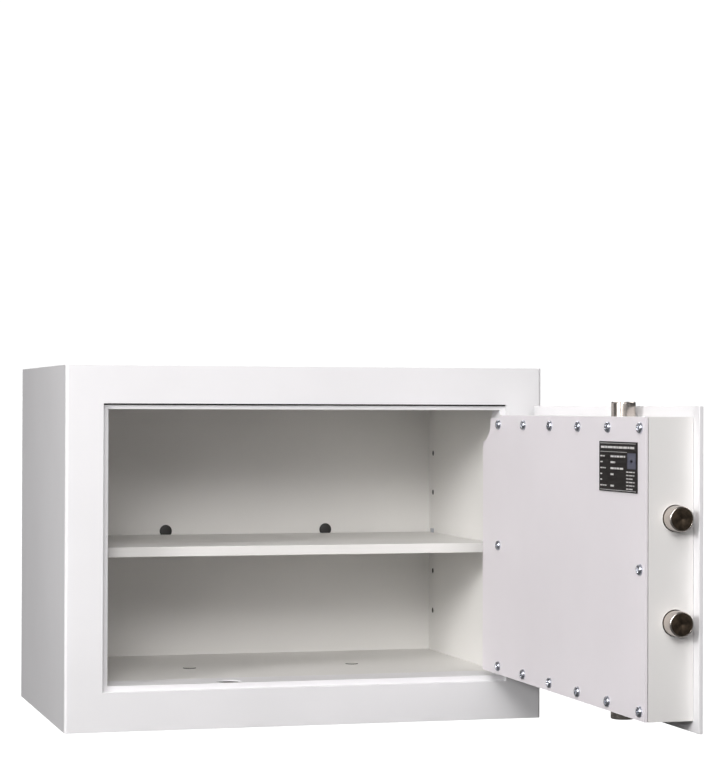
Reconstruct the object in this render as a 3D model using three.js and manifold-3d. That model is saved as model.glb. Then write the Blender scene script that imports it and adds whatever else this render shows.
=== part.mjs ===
// Fire-resistant document safe: a steel cabinet with an inner liner and one shelf, and a
// right-hinged door that stands open at a right angle, with its locking bolts thrown.
// Millimetres. X runs to the right, Y to the back and Z up. The origin is the centre of the
// cabinet's footprint.

import * as THREE from 'three';
import { mergeVertices } from 'three/addons/utils/BufferGeometryUtils.js';
import Module from 'manifold-3d';

const wasm = await Module();
wasm.setup();

// ---------------------------------------------------------------- driving dimensions

const WIDTH = 445;
const DEPTH = 282;
const HEIGHT = 325;
const STEEL = 1.5; // sheet of the casing, frame, liner, shelf and door box
const SEAM = 0.3; // gap between pieces that touch
const EDGE_ROUND = 3; // radius of the casing's upright front edges

const JAMB = 34; // face width of the front frame at the sides and the top
const SILL = 35; // and at the bottom
const REBATE = 5; // how far back the ledge lies that stops the door
const LEDGE = 5; // how far the ledge stands into the opening
const LINER_FRONT = 46; // where the liner starts, behind the front face
const SIDE_WALL = 29; // wall thickness from the outside to the liner's inner face
const BACK_WALL = 27;

const SHELF_TOP = 160.5;
const SHELF_FRONT = 47; // behind the front face
const SHELF_LIP = 9;
const SHELF_SIDE_GAP = 1.8;
const PEG_HOLE = 2.8; // radius of the shelf holes
const PEG_ROWS = [80.5, 121, 161.5, 201.5, 241.5];
const PEG_INSET = 12.5; // from the back wall, and 1.5 mm more from the liner's front edge
const ANCHOR_HOLE = 5; // radius
const BACK_ANCHORS = { x: [-82.5, 82.5], z: 164 };
const FLOOR_ANCHORS = { x: [-83, 77], y: -8 };

const DOOR_GAP = 1; // around the door plate, at the free edge, the top and the bottom
const HINGE_GAP = 1.5;
const PLATE = 3.5; // thickness of the door's outer plate
const DOOR_THICK = 44; // from the plate's outer face to the cover's inner face
const COVER = 2;
const BOX_INSET = { hinge: 11, free: 10.6, top: 8.6, bottom: 9 };
const COVER_LIP = 27; // how far the cover reaches past the plate's hinge edge
const NOTCH = 21.5; // radius of the cover's notch at its upper hinge corner
const NOTCH_DROP = 3; // how far the lip's upper edge lies under the cover's
const PIVOT_IN = 15.5; // hinge axis, from the cabinet's right side
const PIVOT_BACK = 7.5; // and behind its front face
const OPEN_ANGLE = 90;

const SCREW_FIRST = 18; // cover screws, from the plate's hinge edge
const SCREW_PITCH = 67.2;
const SCREW_COLUMNS = 6;
const SCREW_ROWS = [52.3, 162.5, 272.8];
const SCREW_HEAD = 4.4;
const SCREW_SHANK = 1.8;

const BOLT = 10; // radius of a locking bolt
const BOLT_DEPTH = 19; // bolt axis behind the plate's outer face
const STROKE = 14;
const SIDE_BOLT_Z = [121.4, 202.7];
const SIDE_BOLT_OUT = 13.5; // how far a thrown side bolt stands out of the door box
const UP_BOLT_OUT = 12;
const DOWN_BOLT_OUT = 11;
const BOLT_HOLE_PLAY = 0.6;
const RECEIVER = 11.5; // radius of the holes in the frame that take the bolts

const HANDLE = { u: 257, z: 162.5, turn: 60 }; // u is measured from the plate's hinge edge
const KEY = { u: 196, z: 222 };
const HINGE_ARM_Z = [57.7, 240];
const ARM_HEIGHT = 6;
const PIN = 3; // hinge pin radius

// ---------------------------------------------------------------- derived places

const LEFT = -WIDTH / 2;
const RIGHT = WIDTH / 2;
const FRONT = -DEPTH / 2;
const BACK = DEPTH / 2;
const behind = (distance) => FRONT + distance;

const opening = { x0: LEFT + JAMB, x1: RIGHT - JAMB, z0: SILL, z1: HEIGHT - JAMB };
const mouth = grow(opening, -LEDGE);
const inside = {
  x0: LEFT + SIDE_WALL, x1: RIGHT - SIDE_WALL,
  y0: behind(LINER_FRONT), y1: BACK - BACK_WALL,
  z0: mouth.z0, z1: mouth.z1,
};
const pivot = { x: RIGHT - PIVOT_IN, y: behind(PIVOT_BACK) };

// Places on the closed door: u from the plate's hinge edge, w from its outer face inwards.
const plate = { x1: opening.x1 - HINGE_GAP, x0: opening.x0 + DOOR_GAP };
const fromHinge = (u) => plate.x1 - u;
const box = {
  x0: plate.x0 + BOX_INSET.free, x1: fromHinge(BOX_INSET.hinge),
  z0: opening.z0 + DOOR_GAP + BOX_INSET.bottom, z1: opening.z1 - DOOR_GAP - BOX_INSET.top,
};
const COVER_GAP = 0.8; // between the cover and the door box
const rim = DOOR_THICK - COVER - COVER_GAP; // inner end of the door box's walls

// ---------------------------------------------------------------- solids

function grow(rect, by) {
  return { x0: rect.x0 - by, x1: rect.x1 + by, z0: rect.z0 - by, z1: rect.z1 + by };
}

function solid(geometry) {
  const bare = geometry.clone();
  bare.deleteAttribute('normal');
  bare.deleteAttribute('uv');
  const merged = mergeVertices(bare, 1e-4);
  return new wasm.Manifold(new wasm.Mesh({
    numProp: 3,
    vertProperties: new Float32Array(merged.attributes.position.array),
    triVerts: new Uint32Array(merged.index.array),
  }));
}

function toGeometry(body) {
  const mesh = body.getMesh();
  const geometry = new THREE.BufferGeometry();
  geometry.setAttribute('position', new THREE.BufferAttribute(mesh.vertProperties, 3));
  geometry.setIndex(new THREE.BufferAttribute(mesh.triVerts, 1));
  geometry.computeVertexNormals();
  return geometry;
}

const join = (bodies) => bodies.reduce((sum, body) => sum.add(body));
const cut = (body, tools) => tools.reduce((rest, tool) => rest.subtract(tool), body);

function block(x0, x1, y0, y1, z0, z1) {
  const geometry = new THREE.BoxGeometry(x1 - x0, y1 - y0, z1 - z0);
  geometry.translate((x0 + x1) / 2, (y0 + y1) / 2, (z0 + z1) / 2);
  return solid(geometry);
}

// A round bar from one end to the other along 'x', 'y' or 'z', centred on the two other
// coordinates, which are given in X, Y, Z order.
function bar(radius, along, from, to, a, b, sides = 24) {
  const geometry = new THREE.CylinderGeometry(radius, radius, to - from, sides);
  const middle = (from + to) / 2;
  if (along === 'x') geometry.rotateZ(Math.PI / 2).translate(middle, a, b);
  if (along === 'y') geometry.translate(a, middle, b);
  if (along === 'z') geometry.rotateX(Math.PI / 2).translate(a, b, middle);
  return solid(geometry);
}

// A flat plate with its outline in the X-Z plane, from y0 to y1.
function frontPlate(shape, y0, y1, curveSegments = 12) {
  const geometry = new THREE.ExtrudeGeometry(shape, { depth: y1 - y0, bevelEnabled: false, curveSegments });
  return solid(geometry.rotateX(Math.PI / 2).translate(0, y1, 0));
}

// A plate with its outline in the X-Y plane, from z0 to z1.
function levelPlate(shape, z0, z1, curveSegments = 12) {
  const geometry = new THREE.ExtrudeGeometry(shape, { depth: z1 - z0, bevelEnabled: false, curveSegments });
  return solid(geometry.translate(0, 0, z0));
}

function outline(points) {
  return new THREE.Shape(points.map(([a, b]) => new THREE.Vector2(a, b)));
}

// ---------------------------------------------------------------- finishes

const finish = (color, roughness, metalness) => () =>
  new THREE.MeshStandardMaterial({ color, roughness, metalness });

const whitePaint = finish(0xe8e6ea, 0.45, 0.0);
const linerPaint = finish(0xdcdad2, 0.5, 0.0);
const zinc = finish(0xb9bec4, 0.35, 0.9);
const nickel = finish(0x9a938c, 0.25, 1.0);
const fireBoard = finish(0x5a5751, 0.95, 0.0);
const blackPlastic = finish(0x1b1b1d, 0.55, 0.0);
const platePrint = finish(0x26272c, 0.4, 0.0);

const safe = new THREE.Group();
const door = new THREE.Group();

function piece(name, body, material, parent = safe) {
  const mesh = new THREE.Mesh(toGeometry(body), material());
  mesh.name = name;
  parent.add(mesh);
}

// ---------------------------------------------------------------- cabinet shells

function outerCasing() {
  const shape = new THREE.Shape();
  shape.moveTo(LEFT, BACK);
  shape.lineTo(LEFT, FRONT + EDGE_ROUND);
  shape.absarc(LEFT + EDGE_ROUND, FRONT + EDGE_ROUND, EDGE_ROUND, Math.PI, 1.5 * Math.PI, false);
  shape.absarc(RIGHT - EDGE_ROUND, FRONT + EDGE_ROUND, EDGE_ROUND, 1.5 * Math.PI, 2 * Math.PI, false);
  shape.lineTo(RIGHT, BACK);
  const wrap = cut(levelPlate(shape, 0, HEIGHT, 4), [
    block(LEFT + STEEL, RIGHT - STEEL, behind(STEEL), BACK + 1, STEEL, HEIGHT - STEEL),
  ]);
  const lip = grow(opening, STEEL);
  return cut(wrap.add(block(lip.x0, lip.x1, FRONT, behind(REBATE), lip.z0, lip.z1)), [
    block(opening.x0, opening.x1, FRONT - 1, behind(REBATE) + 1, opening.z0, opening.z1),
    ...floorAnchors(0, STEEL, ANCHOR_HOLE + 1),
  ]);
}

function backPanel() {
  const inset = STEEL + SEAM;
  return cut(block(LEFT + inset, RIGHT - inset, BACK - STEEL, BACK, inset, HEIGHT - inset),
    backAnchors(BACK - STEEL, BACK, ANCHOR_HOLE));
}

const FRAME_FLANGE = 4; // how far the ledge's sheet reaches behind the casing's folded edge
const TOP_SLOT = 1.3; // open slot over the ledge, under the casing's folded edge
const LIP_POCKET = 28; // where the right reveal ends, to let the cover's lip turn

function doorFrame() {
  const front = behind(REBATE + SEAM);
  const flange = grow(opening, FRAME_FLANGE);
  const skirt = grow(mouth, STEEL);
  const ledge = block(flange.x0, opening.x1 + STEEL, front, front + STEEL, flange.z0, opening.z1 - TOP_SLOT);
  const reveal = block(skirt.x0, skirt.x1, front, behind(LINER_FRONT - 0.5), skirt.z0, skirt.z1);
  const armSlots = HINGE_ARM_Z.map((z) =>
    block(mouth.x1 - 1, skirt.x1 + 1, front + STEEL, behind(LINER_FRONT), z - 3, z + ARM_HEIGHT + 3));
  return cut(ledge.add(reveal), [
    block(mouth.x0, mouth.x1, front - 1, behind(LINER_FRONT), mouth.z0, mouth.z1),
    block(mouth.x1 - 1, skirt.x1 + 1, behind(LIP_POCKET), behind(LINER_FRONT), mouth.z0, mouth.z1),
    ...armSlots,
    ...SIDE_BOLT_Z.map((z) =>
      bar(RECEIVER, 'x', skirt.x0 - 2, mouth.x0 + 2, behind(BOLT_DEPTH), z)),
    bar(RECEIVER, 'z', mouth.z1 - 2, skirt.z1 + 2, fromHinge(HANDLE.u), behind(BOLT_DEPTH)),
    bar(RECEIVER, 'z', skirt.z0 - 2, mouth.z0 + 2, fromHinge(HANDLE.u), behind(BOLT_DEPTH)),
  ]);
}

function innerLiner() {
  const { x0, x1, y0, y1, z0, z1 } = inside;
  const tub = cut(block(x0 - STEEL, x1 + STEEL, y0, y1 + STEEL, z0 - STEEL, z1 + STEEL), [
    block(x0, x1, y0 - 1, y1, z0, z1),
  ]);
  const pocketWall = block(x1, RIGHT - STEEL - SEAM, y0, y0 + STEEL, z0 - STEEL, z1 + STEEL);
  const pegHoles = PEG_ROWS.flatMap((z) => pegColumns().flatMap((y) => [
    bar(PEG_HOLE, 'x', x0 - STEEL - 1, x0 + 1, y, z, 12),
    bar(PEG_HOLE, 'x', x1 - 1, x1 + STEEL + 1, y, z, 12),
  ]));
  return cut(tub.add(pocketWall), [
    ...pegHoles,
    ...backAnchors(y1, y1 + STEEL, ANCHOR_HOLE),
    ...floorAnchors(z0 - STEEL, z0, ANCHOR_HOLE),
  ]);
}

const pegColumns = () => [inside.y0 + PEG_INSET + STEEL, inside.y1 - PEG_INSET];

function backAnchors(y0, y1, radius) {
  return BACK_ANCHORS.x.map((x) => bar(radius, 'y', y0 - 1, y1 + 1, x, BACK_ANCHORS.z, 16));
}

function floorAnchors(z0, z1, radius) {
  return FLOOR_ANCHORS.x.map((x) => bar(radius, 'z', z0 - 1, z1 + 1, x, FLOOR_ANCHORS.y, 16));
}

// ---------------------------------------------------------------- fire boards

const BOARD_PLAY = 0.5; // between a board and the sheets around it
const boards = {
  x0: LEFT + STEEL + BOARD_PLAY, x1: RIGHT - STEEL - BOARD_PLAY,
  z0: STEEL + BOARD_PLAY, z1: HEIGHT - STEEL - BOARD_PLAY,
  front: behind(REBATE + SEAM + STEEL + BOARD_PLAY),
  back: inside.y1 + STEEL + BOARD_PLAY,
};
const linerOut = grow(inside, STEEL + BOARD_PLAY);

function fireBoardTop() {
  const board = block(boards.x0, boards.x1, boards.front, boards.back - SEAM, linerOut.z1, boards.z1);
  const pocket = bar(RECEIVER + 1, 'z', linerOut.z1 - 1, linerOut.z1 + 10, fromHinge(HANDLE.u), behind(BOLT_DEPTH));
  return cut(board, [pocket]);
}

function fireBoardBottom() {
  const board = block(boards.x0, boards.x1, boards.front, boards.back - SEAM, boards.z0, linerOut.z0);
  const pocket = bar(RECEIVER + 1, 'z', linerOut.z0 - 10, linerOut.z0 + 1, fromHinge(HANDLE.u), behind(BOLT_DEPTH));
  return cut(board, [pocket, ...floorAnchors(boards.z0, linerOut.z0, ANCHOR_HOLE + 1)]);
}

function fireBoardSide(x0, x1, y0) {
  return block(x0, x1, y0, boards.back - SEAM, linerOut.z0 + SEAM, linerOut.z1 - SEAM);
}

function fireBoardBack() {
  const board = block(boards.x0, boards.x1, boards.back, BACK - STEEL - BOARD_PLAY, boards.z0, boards.z1);
  return cut(board, backAnchors(boards.back, BACK, ANCHOR_HOLE + 1));
}

// ---------------------------------------------------------------- shelf and small fittings

const shelf = { x0: inside.x0 + SHELF_SIDE_GAP, x1: inside.x1 - SHELF_SIDE_GAP,
  y0: behind(SHELF_FRONT), y1: inside.y1 - 2 };

function shelfPanel() {
  const { x0, x1, y0, y1 } = shelf;
  return join([
    block(x0, x1, y0, y1, SHELF_TOP - STEEL, SHELF_TOP),
    block(x0, x1, y0, y0 + STEEL, SHELF_TOP - SHELF_LIP, SHELF_TOP),
    block(x0, x1, y0, y0 + 10, SHELF_TOP - SHELF_LIP, SHELF_TOP - SHELF_LIP + STEEL),
    block(x0, x1, y1 - STEEL, y1, SHELF_TOP - SHELF_LIP, SHELF_TOP),
  ]);
}

// A bent steel clip: a peg in the liner's hole, a plate down the wall and a tab under the shelf.
function shelfClip(side, y) {
  const wall = side < 0 ? inside.x0 : inside.x1;
  const span = (a, b) => [wall - side * a, wall - side * b].sort((p, q) => p - q);
  const width = 3.2;
  const z = PEG_ROWS[2];
  const under = SHELF_TOP - STEEL - SEAM;
  return join([
    block(...span(0.2, 1.5), y - width, y + width, under - 8, z + 2.9),
    block(...span(0.2, 12), y - width, y + width, under - STEEL, under),
    bar(PEG_HOLE - 0.3, 'x', ...span(-STEEL, 1), y, z, 12),
  ]);
}

function anchorPlug(along, x, at) {
  const [head, stem, depth] = [ANCHOR_HOLE + 1.2, ANCHOR_HOLE - 0.4, 8];
  if (along === 'y') {
    return bar(head, 'y', at - 1.3, at - SEAM, x, BACK_ANCHORS.z)
      .add(bar(stem, 'y', at - 1, at + depth, x, BACK_ANCHORS.z));
  }
  return bar(head, 'z', at + SEAM, at + 1.1, x, FLOOR_ANCHORS.y)
    .add(bar(stem, 'z', at - depth, at + 1, x, FLOOR_ANCHORS.y));
}

// ---------------------------------------------------------------- hinges

const ARM = { eye: 5.2, thick: 7.5, knee: 24.5, reach: 70 };
const BRACKET = { sheet: 3, tab: 18, depth: 10 };

// A goose-neck arm, on the closed door: from the eye straight back, then across into the door box.
function hingeArm(z) {
  const { x, y } = pivot;
  const inner = y + ARM.knee;
  const outer = inner + ARM.thick;
  const tip = fromHinge(ARM.reach);
  const neck = [[x, y], [x, inner], [tip, inner], [tip, outer], [x + ARM.thick, outer], [x + ARM.thick, y + 3],
    [x + 4.4, y]];
  const body = levelPlate(outline([...neck].reverse()), z, z + ARM_HEIGHT);
  return cut(body.add(bar(ARM.eye, 'z', z, z + ARM_HEIGHT, x, y)), [
    bar(PIN + 0.35, 'z', z - 1, z + ARM_HEIGHT + 1, x, y),
  ]);
}

// A bracket under the lower arm, or over the upper one, welded to the casing's side.
function hingeBracket(z, side) {
  const { x, y } = pivot;
  const edge = RIGHT - STEEL - SEAM;
  const [low, high] = side < 0 ? [z - SEAM - BRACKET.sheet, z - SEAM] : [z + SEAM, z + SEAM + BRACKET.sheet];
  const [tabLow, tabHigh] = side < 0 ? [high - BRACKET.tab, high] : [low, low + BRACKET.tab];
  const [y0, y1] = [behind(STEEL + SEAM), y + BRACKET.depth];
  return cut(block(x - 8, edge, y0, y1, low, high).add(
    block(edge - BRACKET.sheet, edge, y0, y1, tabLow, tabHigh)), [
    bar(PIN + 0.35, 'z', low - 1, high + 1, x, y),
  ]);
}

function hingePin(z, side) {
  const { x, y } = pivot;
  const overlap = ARM_HEIGHT - 1;
  const outer = BRACKET.sheet + SEAM * 2;
  if (side < 0) {
    return bar(PIN, 'z', z - outer - 1, z + overlap, x, y).add(bar(PIN + 1.5, 'z', z - outer - 2.5, z - outer, x, y));
  }
  return bar(PIN, 'z', z - overlap, z + outer + 1, x, y).add(bar(PIN + 1.5, 'z', z + outer, z + outer + 2.5, x, y));
}

// ---------------------------------------------------------------- door shells

function doorPlate() {
  const body = block(plate.x0, plate.x1, FRONT, behind(PLATE), opening.z0 + DOOR_GAP, opening.z1 - DOOR_GAP);
  return cut(body, [
    bar(SPINDLE + 0.6, 'y', FRONT - 1, behind(PLATE) + 1, fromHinge(HANDLE.u), HANDLE.z),
    bar(PLUG + 0.6, 'y', FRONT - 1, behind(PLATE) + 1, fromHinge(KEY.u), KEY.z),
  ]);
}

const FLANGE = 14; // rim of the door box that the cover screws into
const STEP_START = 6; // from the door box's hinge side to the step in the cover's upper edge
const STEP_RUN = 14; // length of that rounded step

function doorBox() {
  const [y0, y1] = [behind(PLATE + SEAM), behind(rim)];
  const hollow = grow(box, -STEEL);
  const throat = grow(box, -FLANGE);
  return cut(block(box.x0, box.x1, y0, y1, box.z0, box.z1), [
    block(hollow.x0, hollow.x1, y0 - 1, y1 - STEEL, hollow.z0, hollow.z1),
    block(throat.x0, throat.x1, y0 - 1, y1 + 1, throat.z0, throat.z1),
    ...screwPlaces().map(([x, z]) => bar(SCREW_SHANK + 0.4, 'y', y1 - 3, y1 + 1, x, z, 12)),
    ...SIDE_BOLT_Z.map((z) =>
      bar(BOLT + BOLT_HOLE_PLAY, 'x', box.x0 - 1, hollow.x0 + 1, behind(BOLT_DEPTH), z)),
    bar(BOLT + BOLT_HOLE_PLAY, 'z', hollow.z1 - 1, box.z1 + 1, fromHinge(HANDLE.u), behind(BOLT_DEPTH)),
    bar(BOLT + BOLT_HOLE_PLAY, 'z', box.z0 - 1, hollow.z0 + 1, fromHinge(HANDLE.u), behind(BOLT_DEPTH)),
    ...HINGE_ARM_Z.map((z) => block(hollow.x1 - 1, box.x1 + 1,
      pivot.y + ARM.knee - 0.5, pivot.y + ARM.knee + ARM.thick + 0.5, z - 0.5, z + ARM_HEIGHT + 0.5)),
  ]);
}

function coverPlate() {
  const [right, top, step] = [plate.x1 + COVER_LIP, box.z1, box.x1 - STEP_START];
  const shape = new THREE.Shape();
  shape.moveTo(box.x0, box.z0);
  shape.lineTo(right, box.z0);
  shape.lineTo(right, top - NOTCH_DROP - NOTCH);
  shape.absarc(right, top - NOTCH_DROP, NOTCH, 1.5 * Math.PI, Math.PI, true);
  shape.lineTo(step, top - NOTCH_DROP);
  shape.quadraticCurveTo(step - STEP_RUN / 3, top - 0.3, step - STEP_RUN, top);
  shape.lineTo(box.x0, top);
  return cut(frontPlate(shape, behind(DOOR_THICK - COVER), behind(DOOR_THICK), 28),
    screwPlaces().map(([x, z]) =>
      bar(SCREW_SHANK + 0.4, 'y', behind(DOOR_THICK - COVER) - 1, behind(DOOR_THICK) + 1, x, z, 12)));
}

function doorFireBoard() {
  const [y0, y1] = [behind(31), behind(rim - STEEL - BOARD_PLAY)];
  const [x0, x1] = [box.x0 + 16, box.x1 - 10];
  const clear = 3;
  return cut(block(x0, x1, y0, y1, box.z0 + 13, box.z1 - 13), HINGE_ARM_Z.map((z) =>
    block(fromHinge(ARM.reach) - clear, x1 + 1, y0 - 1, y1 + 1, z - 20, z + ARM_HEIGHT + 20)));
}

// Six screws along the top and the bottom, and one half-way up each side.
function screwPlaces() {
  const places = [];
  for (let column = 0; column < SCREW_COLUMNS; column += 1) {
    const x = fromHinge(SCREW_FIRST + column * SCREW_PITCH);
    const atSide = column === 0 || column === SCREW_COLUMNS - 1;
    for (const [row, z] of SCREW_ROWS.entries()) {
      if (row !== 1 || atSide) places.push([x, z]);
    }
  }
  return places;
}

function coverScrew(x, z) {
  const seat = behind(DOOR_THICK + SEAM);
  const profile = [[0, 2.3], [1.8, 2.1], [3.3, 1.5], [SCREW_HEAD, 0.4], [SCREW_HEAD, 0],
    [SCREW_SHANK, 0], [SCREW_SHANK, -7], [0, -8.5]];
  const geometry = new THREE.LatheGeometry(
    [...profile].reverse().map(([radius, rise]) => new THREE.Vector2(radius, rise)), 12);
  return solid(geometry.translate(x, seat, z));
}

function dataPlate() {
  const [u0, u1, z0, z1] = [269, 349, 221.5, 261.5];
  return block(fromHinge(u1), fromHinge(u0), behind(DOOR_THICK + SEAM), behind(DOOR_THICK + SEAM + 0.6), z0, z1);
}

// ---------------------------------------------------------------- boltwork

const SPINDLE = 6;
const PLUG = 7;
const CAM = { radius: 20, from: 13, to: 19, pin: 2.5, swing: HANDLE.turn / 2 };
const SIDE_BAR = { from: 21, to: 23.5 };
const UP_BAR = { from: 24.1, to: 26.6 };
const YOKE = { along: 3.1, across: 4.3 }; // half sizes of a drive slot, along and across its stroke
const yokeArm = STROKE * (1 + Math.cos(THREE.MathUtils.degToRad(CAM.swing))) / 2;

const boltX = fromHinge(HANDLE.u);
const boltY = behind(BOLT_DEPTH);

function sideBolt(z) {
  const tip = box.x0 - SIDE_BOLT_OUT;
  return bar(BOLT, 'x', tip, tip + 40, boltY, z, 32);
}

function sideBoltBar() {
  const foot = box.x0 - SIDE_BOLT_OUT + 40 + SEAM;
  const [y0, y1] = [behind(SIDE_BAR.from), behind(SIDE_BAR.to)];
  const slot = { x: boltX - STROKE / 2, z: HANDLE.z + yokeArm };
  const arm = { half: 8, end: boltX + 7 };
  // Relief in the arm's lower edge, for the lower bolt's drive pin when the bar is drawn back.
  const relief = { x0: boltX - 2.1 * STROKE, x1: boltX - 1.4 * STROKE, top: HANDLE.z + STROKE / 2 + CAM.pin + 0.8 };
  return cut(join([
    block(foot, foot + 16, y0, y1, SIDE_BOLT_Z[0] - BOLT, SIDE_BOLT_Z[1] + BOLT),
    block(foot, arm.end, y0, y1, slot.z - arm.half, slot.z + arm.half),
    ...SIDE_BOLT_Z.map((z) => block(foot, foot + 4, boltY - 6, y1, z - 6, z + 6)),
  ]), [
    block(slot.x - YOKE.along, slot.x + YOKE.along, y0 - 1, y1 + 1, slot.z - YOKE.across, slot.z + YOKE.across),
    block(relief.x0, relief.x1, y0 - 1, y1 + 1, slot.z - arm.half - 1, relief.top),
  ]);
}

// The upper and lower bolts: side is +1 for the upper one and -1 for the lower one.
const boltEnd = (side) => (side > 0 ? box.z1 + UP_BOLT_OUT : box.z0 - DOWN_BOLT_OUT);
const BOLT_LENGTH = 40;

function uprightBolt(side) {
  const tip = boltEnd(side);
  const root = tip - side * BOLT_LENGTH;
  return bar(BOLT, 'z', Math.min(tip, root), Math.max(tip, root), boltX, boltY, 32);
}

function uprightBoltBar(side) {
  const [y0, y1] = [behind(UP_BAR.from), behind(UP_BAR.to)];
  const top = boltEnd(side) - side * (BOLT_LENGTH + SEAM);
  const slot = { x: boltX + side * yokeArm, z: HANDLE.z + side * STROKE / 2 };
  const zs = (a, b) => (a < b ? [a, b] : [b, a]);
  const xs = zs(boltX + side * 5, boltX + side * 21);
  return cut(join([
    block(...xs, y0, y1, ...zs(slot.z - side * 12, top)),
    block(...zs(boltX - side * 10, boltX + side * 21), y0, y1, ...zs(top - side * 9, top)),
    block(boltX - 6, boltX + 6, boltY - 6, y1, ...zs(top - side * 4, top)),
  ]), [
    block(slot.x - YOKE.across, slot.x + YOKE.across, y0 - 1, y1 + 1, slot.z - YOKE.along, slot.z + YOKE.along),
  ]);
}

// Spindle and cam disc in one turned piece. Its three pins stand half a turn's swing before
// the middle of their strokes: one drives the side bar, one the upper and one the lower bolt.
function spindleCam() {
  const pinAt = (degrees, to) => {
    const angle = THREE.MathUtils.degToRad(degrees - CAM.swing);
    const x = boltX - STROKE * Math.cos(angle);
    const z = HANDLE.z + STROKE * Math.sin(angle);
    return bar(CAM.pin, 'y', behind(CAM.to) - 1, behind(to), x, z, 16);
  };
  return join([
    bar(SPINDLE, 'y', behind(-7), behind(CAM.from) + 1, boltX, HANDLE.z),
    bar(CAM.radius, 'y', behind(CAM.from), behind(CAM.to), boltX, HANDLE.z, 32),
    pinAt(90, SIDE_BAR.to + 0.6),
    pinAt(180, UP_BAR.to + 1),
    pinAt(0, UP_BAR.to + 1),
  ]);
}

// ---------------------------------------------------------------- outside fittings

function handleRosette() {
  return cut(bar(25, 'y', behind(-5), behind(-SEAM), boltX, HANDLE.z, 40), [
    bar(SPINDLE + 0.6, 'y', behind(-6), behind(1), boltX, HANDLE.z),
  ]);
}

// A lever that points to the hinge side, with a round end.
function leverHandle() {
  const [reach, half] = [98, 8];
  const shape = new THREE.Shape();
  shape.moveTo(boltX, HANDLE.z - half - 2);
  shape.lineTo(boltX + reach - half, HANDLE.z - half);
  shape.absarc(boltX + reach - half, HANDLE.z, half, -Math.PI / 2, Math.PI / 2, false);
  shape.lineTo(boltX, HANDLE.z + half + 2);
  const lever = frontPlate(shape, behind(-34), behind(-24), 8);
  return cut(join([lever, bar(14, 'y', behind(-36), behind(-5.6), boltX, HANDLE.z, 32)]), [
    bar(SPINDLE + 0.4, 'y', behind(-7.4), behind(0), boltX, HANDLE.z),
  ]);
}

function lockCase() {
  const [x0, x1] = [fromHinge(222), fromHinge(170)];
  const body = block(x0, x1, behind(PLATE + SEAM), behind(28), 204, 252);
  return cut(body, [
    bar(PLUG + 0.4, 'y', behind(PLATE), behind(20), fromHinge(KEY.u), KEY.z),
    block(x0 - 1, x0 + 42, behind(23.4), behind(27.1), 217.7, 230.3),
  ]);
}

const LOCK_BOLT = { length: 30, z0: 218, z1: 230 };

function lockBolt() {
  const tip = fromHinge(224);
  return block(tip, tip + LOCK_BOLT.length, behind(23.7), behind(26.8), LOCK_BOLT.z0, LOCK_BOLT.z1);
}

function keyPlug() {
  const x = fromHinge(KEY.u);
  return cut(bar(PLUG, 'y', behind(-3.5), behind(19.5), x, KEY.z, 32), [
    block(x - 1, x + 1, behind(-5), behind(6), KEY.z - 4.5, KEY.z + 4.5),
  ]);
}

const COVER_PIVOT_RISE = 21; // the keyhole cover's rivet above the keyhole

function lockEscutcheon() {
  const [x, wide] = [fromHinge(KEY.u), 15];
  const shape = new THREE.Shape();
  shape.absarc(x, KEY.z, wide, Math.PI, 2 * Math.PI, false);
  shape.absarc(x, KEY.z + COVER_PIVOT_RISE, wide, 0, Math.PI, false);
  return cut(frontPlate(shape, behind(-3), behind(-SEAM)), [
    bar(PLUG + 0.6, 'y', behind(-4), behind(1), x, KEY.z),
    bar(1.6, 'y', behind(-4), behind(1), x, KEY.z + COVER_PIVOT_RISE, 12),
  ]);
}

function keyholeCover() {
  const [x, pivotZ] = [fromHinge(KEY.u), KEY.z + COVER_PIVOT_RISE];
  const shape = new THREE.Shape();
  shape.absarc(x, KEY.z, 11, Math.PI, 2 * Math.PI, false);
  shape.absarc(x, pivotZ, 6.5, 0, Math.PI, false);
  return cut(frontPlate(shape, behind(-5.6), behind(-4.1)), [
    bar(2, 'y', behind(-7), behind(-3), x, pivotZ, 16),
  ]);
}

function coverRivet() {
  const [x, z] = [fromHinge(KEY.u), KEY.z + COVER_PIVOT_RISE];
  return bar(1.4, 'y', behind(-6.2), behind(-1), x, z, 12).add(bar(3.6, 'y', behind(-7), behind(-5.9), x, z, 16));
}

// ---------------------------------------------------------------- assembly

piece('outer_casing', outerCasing(), whitePaint);
piece('back_panel', backPanel(), whitePaint);
piece('door_frame', doorFrame(), whitePaint);
piece('inner_liner', innerLiner(), linerPaint);

piece('fire_board_top', fireBoardTop(), fireBoard);
piece('fire_board_bottom', fireBoardBottom(), fireBoard);
piece('fire_board_left', fireBoardSide(boards.x0, linerOut.x0, boards.front), fireBoard);
piece('fire_board_right', fireBoardSide(linerOut.x1, boards.x1, inside.y0 + STEEL + BOARD_PLAY), fireBoard);
piece('fire_board_back', fireBoardBack(), fireBoard);

piece('shelf', shelfPanel(), linerPaint);
const [frontPegs, backPegs] = pegColumns();
piece('shelf_clip_front_left', shelfClip(-1, frontPegs), zinc);
piece('shelf_clip_back_left', shelfClip(-1, backPegs), zinc);
piece('shelf_clip_front_right', shelfClip(1, frontPegs), zinc);
piece('shelf_clip_back_right', shelfClip(1, backPegs), zinc);

['left', 'right'].forEach((side, i) => {
  piece(`anchor_plug_back_${side}`, anchorPlug('y', BACK_ANCHORS.x[i], inside.y1), blackPlastic);
  piece(`anchor_plug_floor_${side}`, anchorPlug('z', FLOOR_ANCHORS.x[i], inside.z0), linerPaint);
});

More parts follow.
